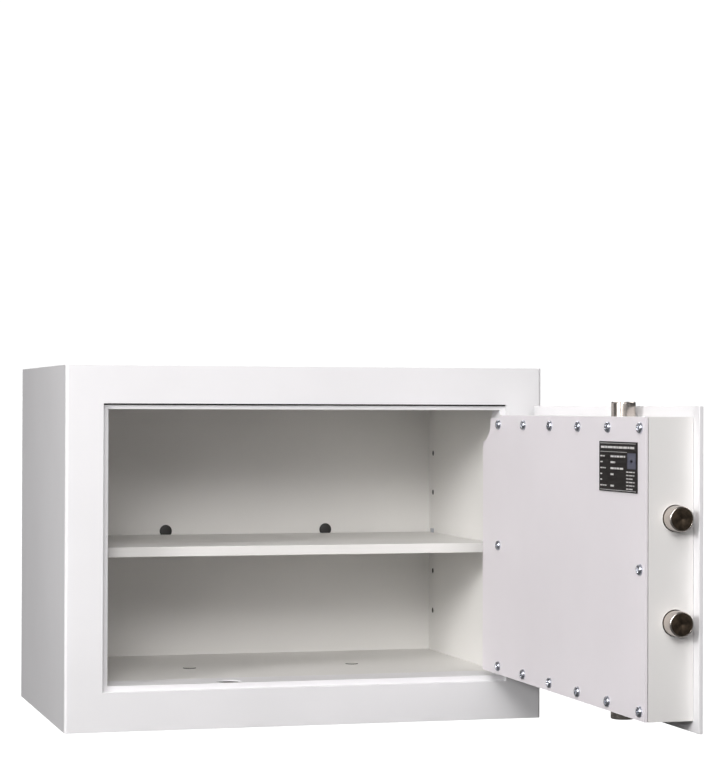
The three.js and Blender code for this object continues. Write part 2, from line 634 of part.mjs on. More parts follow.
piece('hinge_bracket_lower', hingeBracket(HINGE_ARM_Z[0], -1), zinc);
piece('hinge_bracket_upper', hingeBracket(HINGE_ARM_Z[1] + ARM_HEIGHT, 1), zinc);
piece('hinge_pin_lower', hingePin(HINGE_ARM_Z[0], -1), zinc);
piece('hinge_pin_upper', hingePin(HINGE_ARM_Z[1] + ARM_HEIGHT, 1), zinc);

piece('hinge_arm_lower', hingeArm(HINGE_ARM_Z[0]), zinc, door);
piece('hinge_arm_upper', hingeArm(HINGE_ARM_Z[1]), zinc, door);
piece('door_plate', doorPlate(), whitePaint, door);
piece('door_box', doorBox(), whitePaint, door);
piece('door_fire_board', doorFireBoard(), fireBoard, door);
piece('cover_plate', coverPlate(), whitePaint, door);
screwPlaces().forEach(([x, z], i) =>
  piece(`cover_screw_${String(i + 1).padStart(2, '0')}`, coverScrew(x, z), zinc, door));
piece('data_plate', dataPlate(), platePrint, door);

piece('side_bolt_lower', sideBolt(SIDE_BOLT_Z[0]), nickel, door);
piece('side_bolt_upper', sideBolt(SIDE_BOLT_Z[1]), nickel, door);
piece('side_bolt_bar', sideBoltBar(), zinc, door);
piece('top_bolt', uprightBolt(1), nickel, door);
piece('top_bolt_bar', uprightBoltBar(1), zinc, door);
piece('bottom_bolt', uprightBolt(-1), nickel, door);
piece('bottom_bolt_bar', uprightBoltBar(-1), zinc, door);
piece('spindle_cam', spindleCam(), zinc, door);

piece('handle_rosette', handleRosette(), nickel, door);
piece('lever_handle', leverHandle(), nickel, door);
piece('lock_case', lockCase(), zinc, door);
piece('lock_bolt', lockBolt(), nickel, door);
piece('key_plug', keyPlug(), nickel, door);
piece('lock_escutcheon', lockEscutcheon(), nickel, door);
piece('keyhole_cover', keyholeCover(), nickel, door);
piece('keyhole_cover_rivet', coverRivet(), zinc, door);

// The door is built closed, then swung open about the hinge pins.
const hinge = new THREE.Group();
hinge.position.set(pivot.x, pivot.y, 0);
hinge.rotation.z = THREE.MathUtils.degToRad(OPEN_ANGLE);
door.position.set(-pivot.x, -pivot.y, 0);
hinge.add(door);
safe.add(hinge);

export default safe;
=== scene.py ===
"""Looks of a fire-resistant document safe: paint, plating, screws, bolts, print and a pale studio."""

import math
import random

import bmesh
import bpy
from bpy.props import FloatProperty, FloatVectorProperty, IntProperty, PointerProperty
from mathutils import Matrix, Vector


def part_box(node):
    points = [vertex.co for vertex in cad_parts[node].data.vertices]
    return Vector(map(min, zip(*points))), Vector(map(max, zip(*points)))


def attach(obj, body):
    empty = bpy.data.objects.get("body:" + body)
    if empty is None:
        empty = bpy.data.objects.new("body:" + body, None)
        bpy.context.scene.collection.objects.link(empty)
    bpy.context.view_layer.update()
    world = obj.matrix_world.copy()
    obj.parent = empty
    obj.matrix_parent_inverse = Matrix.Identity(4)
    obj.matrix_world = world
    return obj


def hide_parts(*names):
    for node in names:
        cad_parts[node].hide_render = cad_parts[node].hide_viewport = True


bl_info = {
    "name": "Document safe looks",
    "version": (1, 0, 0),
    "blender": (4, 5, 0),
    "location": "View3D > Sidebar > Safe",
    "description": "Finishes and fine pieces of a fire-resistant document safe with its door open",
    "category": "Object",
}

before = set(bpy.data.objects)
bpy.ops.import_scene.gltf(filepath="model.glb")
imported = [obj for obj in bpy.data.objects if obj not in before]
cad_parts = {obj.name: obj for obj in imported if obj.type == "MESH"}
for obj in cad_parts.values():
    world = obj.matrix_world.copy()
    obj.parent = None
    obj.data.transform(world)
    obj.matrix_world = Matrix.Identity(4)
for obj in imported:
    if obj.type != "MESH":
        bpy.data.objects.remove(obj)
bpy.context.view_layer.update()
MM = 0.001

SHEET_EDGE = 0.45 * MM
CABINET_SHEETS = ("outer_casing", "back_panel", "door_frame")
LINING_SHEETS = ("inner_liner", "shelf")
BOARDS = ("fire_board_top", "fire_board_bottom", "fire_board_left", "fire_board_right",
          "fire_board_back", "door_fire_board")
CLIPS = ("shelf_clip_front_left", "shelf_clip_front_right", "shelf_clip_back_left", "shelf_clip_back_right")
HINGE_PARTS = ("hinge_bracket_lower", "hinge_bracket_upper", "hinge_pin_lower", "hinge_pin_upper",
               "hinge_arm_lower", "hinge_arm_upper")
BOLTWORK = ("side_bolt_bar", "top_bolt_bar", "bottom_bolt_bar", "spindle_cam", "lock_case")
SCREW_COUNT = 14
LINER_SHEET = 1.5 * MM
PEG_STEPS = 24  # facets round a shelf hole's cup
PEG_HEIGHTS = (80.5 * MM, 121.0 * MM, 201.5 * MM, 241.5 * MM)  # the shelf holes without a clip


# ---------------------------------------------------------------- settings

def colour_prop(name, description, default):
    return FloatVectorProperty(name=name, description=description, default=default, subtype="COLOR",
                               size=3, min=0.0, max=1.0)


def length_prop(name, description, default):
    return FloatProperty(name=name, description=description, default=default, min=0.0, unit="LENGTH",
                         subtype="DISTANCE", precision=5)


class SafeColours(bpy.types.PropertyGroup):
    """Colours of the finishes, as linear values."""

    casing: colour_prop("Casing paint", "Powder coat outside the cabinet and door", (0.81, 0.806, 0.818))
    cover: colour_prop("Cover paint", "Powder coat on the door's inner cover", (0.83, 0.795, 0.825))
    box: colour_prop("Door box paint", "Powder coat on the door's inner box", (0.785, 0.776, 0.762))
    liner: colour_prop("Liner paint", "Powder coat on the liner and the shelf", (0.80, 0.79, 0.765))
    # painted shade: the board's colour is set far darker than pale mineral board, so the bolt pockets and
    # holes that show it read dark
    board: colour_prop("Fire board", "Mineral board inside the walls", (0.10, 0.092, 0.08))
    zinc: colour_prop("Zinc plate", "Screws, brackets and bars", (0.47, 0.49, 0.54))
    nickel: colour_prop("Nickel plate", "Turned sides of the bolts", (0.56, 0.51, 0.47))
    # painted reflection: the bolt end's colour is set dark for the dark surroundings its end face reflects,
    # over unplated steel
    bolt_end_dark_reflection: colour_prop("Bolt end", "Sawn end face of a bolt", (0.056, 0.041, 0.028))
    chrome: colour_prop("Chrome", "Handle, rosette and lock fittings", (0.74, 0.745, 0.76))
    plate: colour_prop("Data plate", "Anodised ground of the data plate", (0.012, 0.010, 0.010))
    print: colour_prop("Print", "Bars on the data plate", (0.66, 0.65, 0.64))
    print_box: colour_prop("Print box", "Tinted box on the data plate", (0.105, 0.11, 0.15))
    black_plug: colour_prop("Rear plug", "Plastic caps in the rear wall", (0.022, 0.021, 0.02))
    pale_plug: colour_prop("Floor plug", "Plastic caps in the floor", (0.66, 0.65, 0.61))


class SafeSizes(bpy.types.PropertyGroup):
    """Sizes of the fine pieces."""

    sheet_edge: length_prop("Sheet edge", "Rounding on the edges of cut sheet", SHEET_EDGE)
    fold_edge: length_prop("Fold", "Rounding on the folds of the door box", 1.6 * MM)
    bolt_chamfer: length_prop("Bolt chamfer", "Chamfer round the end of a bolt", 1.1 * MM)
    recess_depth: length_prop("Recess depth", "Depth of the cross in a screw head", 1.5 * MM)
    recess_reach: length_prop("Recess reach", "Radius of the cross in a screw head", 2.6 * MM)
    print_rise: length_prop("Print rise", "Thickness of the print on the data plate", 0.06 * MM)
    turned_steps: IntProperty(name="Turned steps", description="Facets round a turned piece",
                              default=64, min=24, max=160)


class SafeStudio(bpy.types.PropertyGroup):
    """Camera and lights."""

    lens: FloatProperty(name="Lens", description="Focal length", default=111.26, min=20.0, unit="CAMERA")
    camera_place: FloatVectorProperty(name="Camera place", description="Where the camera stands",
                                      default=(-0.54208, -2.23, 0.28762), subtype="TRANSLATION")
    yaw: FloatProperty(name="Yaw", description="Turn to the right of straight back",
                       default=math.radians(15.819), subtype="ANGLE")
    pitch: FloatProperty(name="Pitch", description="Tilt up", default=math.radians(0.554), subtype="ANGLE")
    roll: FloatProperty(name="Roll", description="Turn about the line of sight",
                        default=math.radians(0.186), subtype="ANGLE")
    sky: FloatProperty(name="Sky", description="Radiance of the studio all round", default=0.02, min=0.0)
    shine: FloatProperty(name="Shine", description="Glow that polished metal reflects", default=0.11,
                         min=0.0)
    glow: FloatProperty(name="Backdrop", description="Glow of the floor and the backdrop", default=1.05,
                        min=0.0)
    power: FloatProperty(name="Light", description="Gain of all the softboxes", default=1.0, min=0.0)


# ---------------------------------------------------------------- shader maths

class Wire:
    """An output socket of a recipe; arithmetic on it adds Math nodes to that recipe."""

    def __init__(self, recipe, socket):
        self.recipe = recipe
        self.socket = socket

    def _math(self, operation, first, second):
        return self.recipe.add("ShaderNodeMath", {"operation": operation}, {0: first, 1: second})

    def __add__(self, other):
        return self._math("ADD", self, other)

    __radd__ = __add__

    def __rsub__(self, other):
        return self._math("SUBTRACT", other, self)

    def __mul__(self, other):
        return self._math("MULTIPLY", self, other)


class Recipe:
    """The node tree of a material or of the world."""

    def __init__(self, owner):
        owner.use_nodes = True
        self.owner = owner
        self.tree = owner.node_tree
        self.tree.nodes.clear()

    def add(self, kind, settings=None, sockets=None, output=0):
        """Adds a node: its settings first, then the values or links of its sockets."""
        node = self.tree.nodes.new(kind)
        for name, value in (settings or {}).items():
            setattr(node, name, value)
        for key, value in (sockets or {}).items():
            if isinstance(value, Wire):
                self.tree.links.new(value.socket, node.inputs[key])
            else:
                node.inputs[key].default_value = value
        return Wire(self, node.outputs[output]) if node.outputs else node

    def place(self):
        return self.add("ShaderNodeTexCoord", output="Object")

    def stretched(self, scale):
        return self.add("ShaderNodeMapping", sockets={"Vector": self.place(), "Scale": scale})

    def noise(self, scale, detail=2.0, roughness=0.5, vector=None):
        sockets = {"Vector": vector or self.place(), "Scale": scale, "Detail": detail, "Roughness": roughness}
        return self.add("ShaderNodeTexNoise", sockets=sockets, output="Fac")

    def span(self, value, low, high):
        """A soft step from 0 at low to 1 at high."""
        sockets = {"Value": value, "From Min": low, "From Max": high}
        return self.add("ShaderNodeMapRange", {"interpolation_type": "SMOOTHSTEP"}, sockets)

    def mix(self, factor, first, second):
        """A colour between two colours."""
        return self.add("ShaderNodeMix", {"data_type": "RGBA"}, {0: factor, 6: first, 7: second}, output=2)

    def bump(self, height, strength, distance):
        sockets = {"Height": height, "Strength": strength, "Distance": distance}
        return self.add("ShaderNodeBump", sockets=sockets)

    def edge(self, radius):
        """1 on an edge sharper than the radius and 0 on a flat."""
        rounded = self.add("ShaderNodeBevel", {"samples": 4}, {"Radius": radius})
        flat = self.add("ShaderNodeNewGeometry", output="Normal")
        meet = self.add("ShaderNodeVectorMath", {"operation": "DOT_PRODUCT"}, {0: rounded, 1: flat},
                        output="Value")
        return self.span(1.0 - meet, 0.01, 0.18)

    def surface(self, sockets):
        """Ends the recipe in a Principled shader and returns the material."""
        shader = self.add("ShaderNodeBsdfPrincipled", sockets=sockets)
        self.add("ShaderNodeOutputMaterial", sockets={"Surface": shader})
        return self.owner


def rgba(colour, gain=1.0):
    return (*(min(1.0, channel * gain) for channel in colour), 1.0)


def powder_coat(name, colour, roughness):
    """Baked powder coat: fine orange peel, a slow drift of tone and paler edges, partly a thinner coat and
    partly a painted highlight along every edge.
    """
    recipe = Recipe(bpy.data.materials.new(name))
    drift = recipe.noise(7.0, 3.0)
    cloud = recipe.noise(60.0, 2.0)
    peel = recipe.noise(720.0, 2.0, 0.45)
    tone = recipe.mix(recipe.span(drift, 0.3, 0.7), rgba(colour, 0.975), rgba(colour, 1.015))
    # painted highlight: every edge is mixed towards a paler copy of the paint, along with the thinner coat
    # there
    coat_and_edge_highlight = recipe.mix(recipe.edge(0.9 * MM) * 0.55, tone, rgba(colour, 1.13))
    return recipe.surface({
        "Base Color": coat_and_edge_highlight,
        "Roughness": roughness - 0.05 + cloud * 0.1,
        "Specular IOR Level": 0.42,
        "Normal": recipe.bump(peel, 0.12, 0.12 * MM),
    })


def plated_steel(name, colour, roughness, grain=(500.0, 500.0, 500.0)):
    """Bright plating with faint drawing marks."""
    recipe = Recipe(bpy.data.materials.new(name))
    marks = recipe.noise(1.0, 3.0, 0.6, recipe.stretched(grain))
    bloom = recipe.noise(90.0, 3.0)
    tone = recipe.mix(recipe.span(bloom, 0.25, 0.75), rgba(colour, 0.88), rgba(colour, 1.06))
    return recipe.surface({
        "Base Color": tone,
        "Metallic": 1.0,
        "Roughness": roughness - 0.04 + bloom * 0.05 + marks * 0.06,
        "Normal": recipe.bump(marks, 0.10, 0.03 * MM),
    })


def sawn_end(name, colour):
    """Unplated end of a bolt: faint rings from the lathe under a brown film, on a colour set dark as a
    painted dark reflection.
    """
    recipe = Recipe(bpy.data.materials.new(name))
    lathe = {"Vector": recipe.place(), "Scale": 900.0, "Distortion": 0.8, "Detail": 1.0}
    rings = recipe.add("ShaderNodeTexWave", {"wave_type": "RINGS", "rings_direction": "Z"}, lathe,
                       output="Fac")
    stain = recipe.noise(160.0, 4.0, 0.6)
    # painted dark reflection: the stained film varies round a colour darkened past bare steel
    film_and_dark_reflection = recipe.mix(recipe.span(stain, 0.35, 0.7), rgba(colour, 0.6), rgba(colour, 2.0))
    return recipe.surface({
        "Base Color": film_and_dark_reflection,
        "Metallic": 0.75,
        "Roughness": 0.36 + stain * 0.14,
        "Normal": recipe.bump(rings * 0.4 + stain, 0.18, 0.04 * MM),
    })


def mineral_board(name, colour):
    """Pressed mineral board with fibres and pits."""
    recipe = Recipe(bpy.data.materials.new(name))
    fibre = recipe.noise(1.0, 4.0, 0.65, recipe.stretched((260.0, 900.0, 260.0)))
    pits = recipe.noise(420.0, 3.0)
    tone = recipe.mix(recipe.span(fibre, 0.3, 0.7), rgba(colour, 0.7), rgba(colour, 1.35))
    return recipe.surface({
        "Base Color": tone,
        "Roughness": 0.92,
        "Normal": recipe.bump(fibre + pits, 0.5, 0.3 * MM),
    })


def moulded_plastic(name, colour, roughness):
    """Moulded plastic with a fine spark-eroded grain."""
    recipe = Recipe(bpy.data.materials.new(name))
    grain = recipe.noise(1900.0, 2.0)
    cloud = recipe.noise(110.0, 2.0)
    tone = recipe.mix(cloud, rgba(colour, 0.9), rgba(colour, 1.1))
    return recipe.surface({
        "Base Color": tone,
        "Roughness": roughness - 0.05 + grain * 0.1,
        "Normal": recipe.bump(grain, 0.15, 0.05 * MM),
    })


def anodised(name, colour, metallic=0.1):
    """Anodised or printed aluminium with a brushed grain along its length."""
    recipe = Recipe(bpy.data.materials.new(name))
    brush = recipe.noise(1.0, 3.0, 0.6, recipe.stretched((900.0, 60.0, 2600.0)))
    tone = recipe.mix(recipe.span(brush, 0.25, 0.75), rgba(colour, 0.85), rgba(colour, 1.2))
    return recipe.surface({
        "Base Color": tone,
        "Metallic": metallic,
        "Roughness": 0.34 + brush * 0.12,
        "Specular IOR Level": 0.2,
        "Normal": recipe.bump(brush, 0.08, 0.02 * MM),
    })


def make_finishes(colours):
    """Every finish of the safe by its slot name."""
    return {
        "casing_paint": powder_coat("casing_paint", colours.casing, 0.42),
        "door_paint": powder_coat("door_paint", colours.cover, 0.44),
        "box_paint": powder_coat("box_paint", colours.box, 0.42),
        "liner_paint": powder_coat("liner_paint", colours.liner, 0.46),
        "fire_board": mineral_board("fire_board", colours.board),
        "zinc_plate": plated_steel("zinc_plate", colours.zinc, 0.26),
        "bolt_nickel": plated_steel("bolt_nickel", colours.nickel, 0.22, (25.0, 25.0, 1600.0)),
        "bolt_end_dark_reflection": sawn_end("bolt_end_dark_reflection", colours.bolt_end_dark_reflection),
        "handle_chrome": plated_steel("handle_chrome", colours.chrome, 0.16, (60.0, 60.0, 60.0)),
        "data_plate": anodised("data_plate", colours.plate),
        "plate_print": anodised("plate_print", colours.print),
        "plate_print_box": anodised("plate_print_box", colours.print_box),
        "black_plug": moulded_plastic("black_plug", colours.black_plug, 0.45),
        "white_plug": moulded_plastic("white_plug", colours.pale_plug, 0.45),
    }


def finish_named(name):
    """The finish with that name, made with all the others on first use."""
    material = bpy.data.materials.get("safe_" + name)
    if material is None:
        for slot, made in make_finishes(bpy.context.scene.safe_colours).items():
            made.name = "safe_" + slot
        material = bpy.data.materials["safe_" + name]
    return material


# ---------------------------------------------------------------- pieces

def soften(node, finish, edge, segments=2):
    """Paints a CAD part and rounds its edges with modifiers, which leave its own mesh alone."""
    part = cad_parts[node]
    part.data.materials.clear()
    part.data.materials.append(finish_named(finish))
    weld = part.modifiers.new("joined corners", "WELD")
    weld.merge_threshold = 0.01 * MM
    whole = part.modifiers.new("whole faces", "DECIMATE")
    whole.decimate_type = "DISSOLVE"
    whole.angle_limit = math.radians(1.0)
    rounding = part.modifiers.new("rounded edges", "BEVEL")
    rounding.width = edge
    rounding.segments = segments
    rounding.limit_method = "ANGLE"
    rounding.angle_limit = math.radians(40.0)
    rounding.use_clamp_overlap = True
    shading = part.modifiers.new("even shading", "WEIGHTED_NORMAL")
    shading.keep_sharp = False
    shading.weight = 80
    return part


def add_piece(name, form, finishes, body, replaced=(), at=Matrix.Identity(4)):
    """Turns a bmesh, or a mesh that is already made, into a piece that rides on a CAD body."""
    mesh = form
    if isinstance(form, bmesh.types.BMesh):
        mesh = bpy.data.meshes.new(name)
        bmesh.ops.recalc_face_normals(form, faces=form.faces)
        form.to_mesh(mesh)
        form.free()
        for finish in finishes:
            mesh.materials.append(finish_named(finish))
    piece = bpy.data.objects.new(name, mesh)
    bpy.context.scene.collection.objects.link(piece)
    piece.matrix_world = at
    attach(piece, body)
    if replaced:
        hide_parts(*replaced)
    return piece


def smooth_by_angle(piece, degrees=35.0):
    """Smooth shading that stops at edges sharper than the angle."""
    for face in piece.data.polygons:
        face.use_smooth = True
    piece.data.set_sharp_from_angle(angle=math.radians(degrees))


def turned(form, profile, steps, material=0):
    """Spins a profile of (radius, height) points, which starts and ends on the axis, about Z."""
    rings = []
    for radius, height in profile:
        if radius < 1e-9:
            rings.append([form.verts.new((0.0, 0.0, height))])
        else:
            rings.append([form.verts.new((radius * math.cos(math.tau * i / steps),
                                          radius * math.sin(math.tau * i / steps), height))
                          for i in range(steps)])
    for lower, upper in zip(rings, rings[1:]):
        for i in range(steps):
            j = (i + 1) % steps
            corners = [lower[i % len(lower)], lower[j % len(lower)],
                       upper[j % len(upper)], upper[i % len(upper)]]
            corners = list(dict.fromkeys(corners))
            if len(corners) > 2:
                form.faces.new(corners).material_index = material


def axis_frame(origin, along):
    """A placement whose Z points along the given direction."""
    return Matrix.Translation(origin) @ Vector(along).to_track_quat("Z", "Y").to_matrix().to_4x4()


def arc(centre, radius, start, end, count):
    """Points on an arc of a profile, angles in degrees."""
    angles = [math.radians(start + (end - start) * i / count) for i in range(count + 1)]
    return [(centre[0] + radius * math.cos(a), centre[1] + radius * math.sin(a)) for a in angles]


def middle(node):
    low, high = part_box(node)
    return (low + high) / 2


# Cabinet

def dress_cabinet(sizes):
    for node in CABINET_SHEETS:
        soften(node, "casing_paint", sizes.sheet_edge)
    for node in LINING_SHEETS:
        soften(node, "liner_paint", sizes.sheet_edge)
    for node in BOARDS:
        soften(node, "fire_board", sizes.sheet_edge, 1)
    for node in CLIPS:
        soften(node, "zinc_plate", sizes.sheet_edge)


def anchor_cap(name, finish, out, steps):
    """A domed snap-in cap with a thin rim, over an anchor hole; out points away from its wall."""
    low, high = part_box(name)
    along = max(range(3), key=lambda i: abs(out[i]))
    across = (along + 1) % 3
    radius = (high[across] - low[across]) / 2
    face = high[along] if out[along] > 0 else low[along]
    depth = high[along] - low[along]
    rise = 1.0 * MM
    origin = middle(name)
    origin[along] = face
    rim = radius - 0.8 * MM
    profile = [(0.0, 0.0), (rim * 0.5, -0.06 * MM), (rim * 0.85, -0.22 * MM), (rim, -0.5 * MM),
               (rim + 0.15 * MM, -0.72 * MM), (radius - 0.2 * MM, -0.7 * MM), (radius, -0.85 * MM),
               (radius, -rise), (radius * 0.74, -rise), (radius * 0.68, -depth), (0.0, -depth)]
    form = bmesh.new()
    turned(form, profile[:4], steps)
    # painted shade: the rim and skirt take the black plastic on every cap, which darkens the edge of the pale
    # floor caps
    turned(form, profile[3:], steps, 1)
    bmesh.ops.remove_doubles(form, verts=form.verts, dist=1e-7)
    piece = add_piece(name + "_cap", form, [finish, "black_plug"], "cabinet", [name],
                      axis_frame(origin, out))
    smooth_by_angle(piece)


def shade_peg_holes(steps):
    """Dark cups in the black plastic finish, in the shelf holes that no clip fills, their mouths at the
    liner's face: painted shade for the hollow behind each hole.
    """
    radius, deep, floor = 2.7 * MM, 1.4 * MM, 0.9 * MM
    profile = [(0.0, -floor), (radius * 0.8, -floor), (radius * 0.84, -0.1 * MM), (radius, -0.1 * MM),
               (radius, -deep), (0.0, -deep)]
    form = bmesh.new()
    for side, inward in (("left", 1), ("right", -1)):
        for column in ("front", "back"):
            clip = f"shelf_clip_{column}_{side}"
            low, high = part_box(clip)
            face = (low.x if inward > 0 else high.x) + inward * LINER_SHEET
            for height in PEG_HEIGHTS:
                cup = bmesh.new()
                turned(cup, profile, steps)
                place = axis_frame((face, middle(clip).y, height), (inward, 0, 0))
                bmesh.ops.transform(cup, matrix=place, verts=cup.verts)
                whole = bpy.data.meshes.new("peg_hole_shade_cup")
                cup.to_mesh(whole)
                cup.free()
                form.from_mesh(whole)
    piece = add_piece("peg_hole_shade_cups", form, ["black_plug"], "cabinet")
    smooth_by_angle(piece)


# Door

def dress_door(sizes):
    soften("door_plate", "casing_paint", sizes.sheet_edge * 1.6)
    soften("door_box", "box_paint", sizes.fold_edge, 4)
    soften("cover_plate", "door_paint", sizes.sheet_edge)


def screw_head_mesh(radius, rise, sizes):
    """A pan head with a cross recess, its seat at height 0; a fine polar grid carries the recess."""
    spokes, rings = 72, 20
    arm, reach, depth = 0.62 * MM, sizes.recess_reach, sizes.recess_depth
    form = bmesh.new()

    def height(r, turn):
        dome = rise * (1.0 - 0.10 * (r / radius) ** 2)
        if r > radius * 0.72:
            fall = (r / radius - 0.72) / 0.28
            dome -= rise * 0.72 * (1.0 - math.sqrt(max(0.0, 1.0 - fall * fall)))
        x, y = r * math.cos(turn), r * math.sin(turn)
        off_arm = min(abs(x), abs(y))
        inside = min(1.0, max(0.0, (arm - off_arm) / (0.30 * MM) + 0.5))
        taper = min(1.0, max(0.0, (reach - r) / (1.1 * MM)))
        return dome - depth * inside * taper

    centre = form.verts.new((0.0, 0.0, height(0.0, 0.0)))
    last = None
    for k in range(1, rings + 1):
        r = radius * k / rings
        ring = [form.verts.new((r * math.cos(math.tau * i / spokes), r * math.sin(math.tau * i / spokes),
                                height(r, math.tau * i / spokes))) for i in range(spokes)]
        for i in range(spokes):
            j = (i + 1) % spokes
            if last is None:
                form.faces.new((centre, ring[i], ring[j]))
            else:
                form.faces.new((last[i], ring[i], ring[j], last[j]))
        last = ring
    seat = [form.verts.new((v.co.x, v.co.y, 0.0)) for v in last]
    for i in range(spokes):
        j = (i + 1) % spokes
        form.faces.new((last[i], seat[i], seat[j], last[j]))
    form.faces.new(seat[::-1])
    bmesh.ops.recalc_face_normals(form, faces=form.faces)
    mesh = bpy.data.meshes.new("cover_screw_head")
    form.to_mesh(mesh)
    form.free()
    mesh.materials.append(finish_named("zinc_plate"))
    for face in mesh.polygons:
        face.use_smooth = True
    mesh.set_sharp_from_angle(angle=math.radians(50.0))
    return mesh


def fit_screws(sizes):
    """Fourteen like screw heads, each left at its own turn."""
    turns = random.Random(14)
    names = [f"cover_screw_{i + 1:02d}" for i in range(SCREW_COUNT)]
    low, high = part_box(names[0])
    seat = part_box("cover_plate")[0].x
    mesh = screw_head_mesh((high.z - low.z) / 2, seat - low.x, sizes)
    for name in names:
        origin = middle(name)
        origin.x = seat
        at = axis_frame(origin, (-1, 0, 0)) @ Matrix.Rotation(turns.uniform(0, math.pi / 2), 4, "Z")
        add_piece(name + "_head", mesh, [], "door", [name], at)


# Data plate

PRINT_ROWS = (0.295, 0.415, 0.535, 0.655, 0.770, 0.885)
LABEL_ENDS = (0.15, 0.11, 0.18, 0.08, 0.08, 0.20)
VALUE_ENDS = (0.70, 0.43, 0.66, 0.39, 0.0, 0.40)
NOTE_ROWS = 6


def print_bar(form, field, left, right, top, bottom, material=0):
    """A thin block of print; the field maps fractions across and down to a place on the plate."""
    corners = [field(u, v) for u, v in ((left, top), (right, top), (right, bottom), (left, bottom))]
    rise = Vector((-bpy.context.scene.safe_sizes.print_rise, 0, 0))
    base = [form.verts.new(c) for c in corners]
    face = [form.verts.new(c + rise) for c in corners]
    form.faces.new(face).material_index = material
    for i in range(4):
        j = (i + 1) % 4
        form.faces.new((base[i], base[j], face[j], face[i])).material_index = material


def print_words(form, field, left, right, row, size, pattern):
    """A run of bars like words, with gaps; the pattern gives the words' lengths in turn."""
    at, i = left, 0
    while at < right - 0.01:
        word = min(pattern[i % len(pattern)], right - at)
        print_bar(form, field, at, at + word, row - size / 2, row + size / 2)
        at += word + 0.014
        i += 1


def print_plate():
    """Generic print: a heading, rules, two columns of bars, a tinted box and small notes."""
    soften("data_plate", "data_plate", 0.12 * MM)
    low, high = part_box("data_plate")

    def field(u, v):
        return Vector((low.x, high.y + (low.y - high.y) * u, high.z + (low.z - high.z) * v))

    form = bmesh.new()
    for row in (0.035, 0.968):
        print_bar(form, field, 0.03, 0.97, row - 0.004, row + 0.004)
    print_bar(form, field, 0.03, 0.74, 0.202, 0.210)
    print_words(form, field, 0.05, 0.93, 0.115, 0.044, (0.10, 0.05, 0.14, 0.07, 0.04, 0.11))
    for row, label, value in zip(PRINT_ROWS, LABEL_ENDS, VALUE_ENDS):
        print_words(form, field, 0.035, label, row, 0.024, (0.06, 0.04))
        if value:
            print_words(form, field, 0.31, value, row, 0.036, (0.09, 0.04, 0.07))
    print_bar(form, field, 0.755, 0.965, 0.22, 0.53, 1)
    print_bar(form, field, 0.835, 0.885, 0.355, 0.400, 0)
    for i in range(NOTE_ROWS):
        row = 0.592 + i * 0.067
        print_words(form, field, 0.725, 0.965 - 0.03 * (i % 3), row, 0.022, (0.06, 0.09, 0.04))
    add_piece("data_plate_print", form, ["plate_print", "plate_print_box"], "door")


# Bolts

def fit_bolt(name, body, out, sizes):
    """A turned bolt with a chamfered, sawn end; out points from the door to the end."""
    low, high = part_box(name)
    along = max(range(3), key=lambda i: abs(out[i]))
    radius = (high[(along + 1) % 3] - low[(along + 1) % 3]) / 2
    length = high[along] - low[along]
    origin = middle(name)
    origin[along] = high[along] if out[along] > 0 else low[along]
    chamfer = sizes.bolt_chamfer
    centre = 0.9 * MM
    end = [(0.0, -0.5 * MM), (centre, 0.0), (radius * 0.5, 0.0), (radius - chamfer * 1.15, 0.0)]
    side = [(radius - chamfer * 1.15, 0.0), (radius - chamfer, -0.02 * MM)]
    side += arc((radius - chamfer, -chamfer), chamfer, 88.0, 0.0, 8)
    groove = 24.0 * MM
    waist = radius - 0.7 * MM
    side += [(radius, -groove), (waist, -groove - 0.7 * MM), (waist, -groove - 2.5 * MM),
             (radius, -groove - 3.2 * MM), (radius, -length + 0.6 * MM), (radius - 0.6 * MM, -length),
             (0.0, -length)]
    form = bmesh.new()
    turned(form, end, sizes.turned_steps, 1)
    turned(form, side, sizes.turned_steps, 0)
    bmesh.ops.remove_doubles(form, verts=form.verts, dist=1e-7)
    piece = add_piece(name + "_turned", form, ["bolt_nickel", "bolt_end_dark_reflection"], body, [name],
                      axis_frame(origin, out))
    smooth_by_angle(piece, 30.0)


# Fittings outside the door

def superellipse(half_wide, half_high, power, count):
    """Points round a rounded oblong section."""
    points = []
    for i in range(count):
        a = math.tau * i / count
        c, s = math.cos(a), math.sin(a)
        points.append((half_wide * math.copysign(abs(c) ** (2 / power), c),
                       half_high * math.copysign(abs(s) ** (2 / power), s)))
    return points


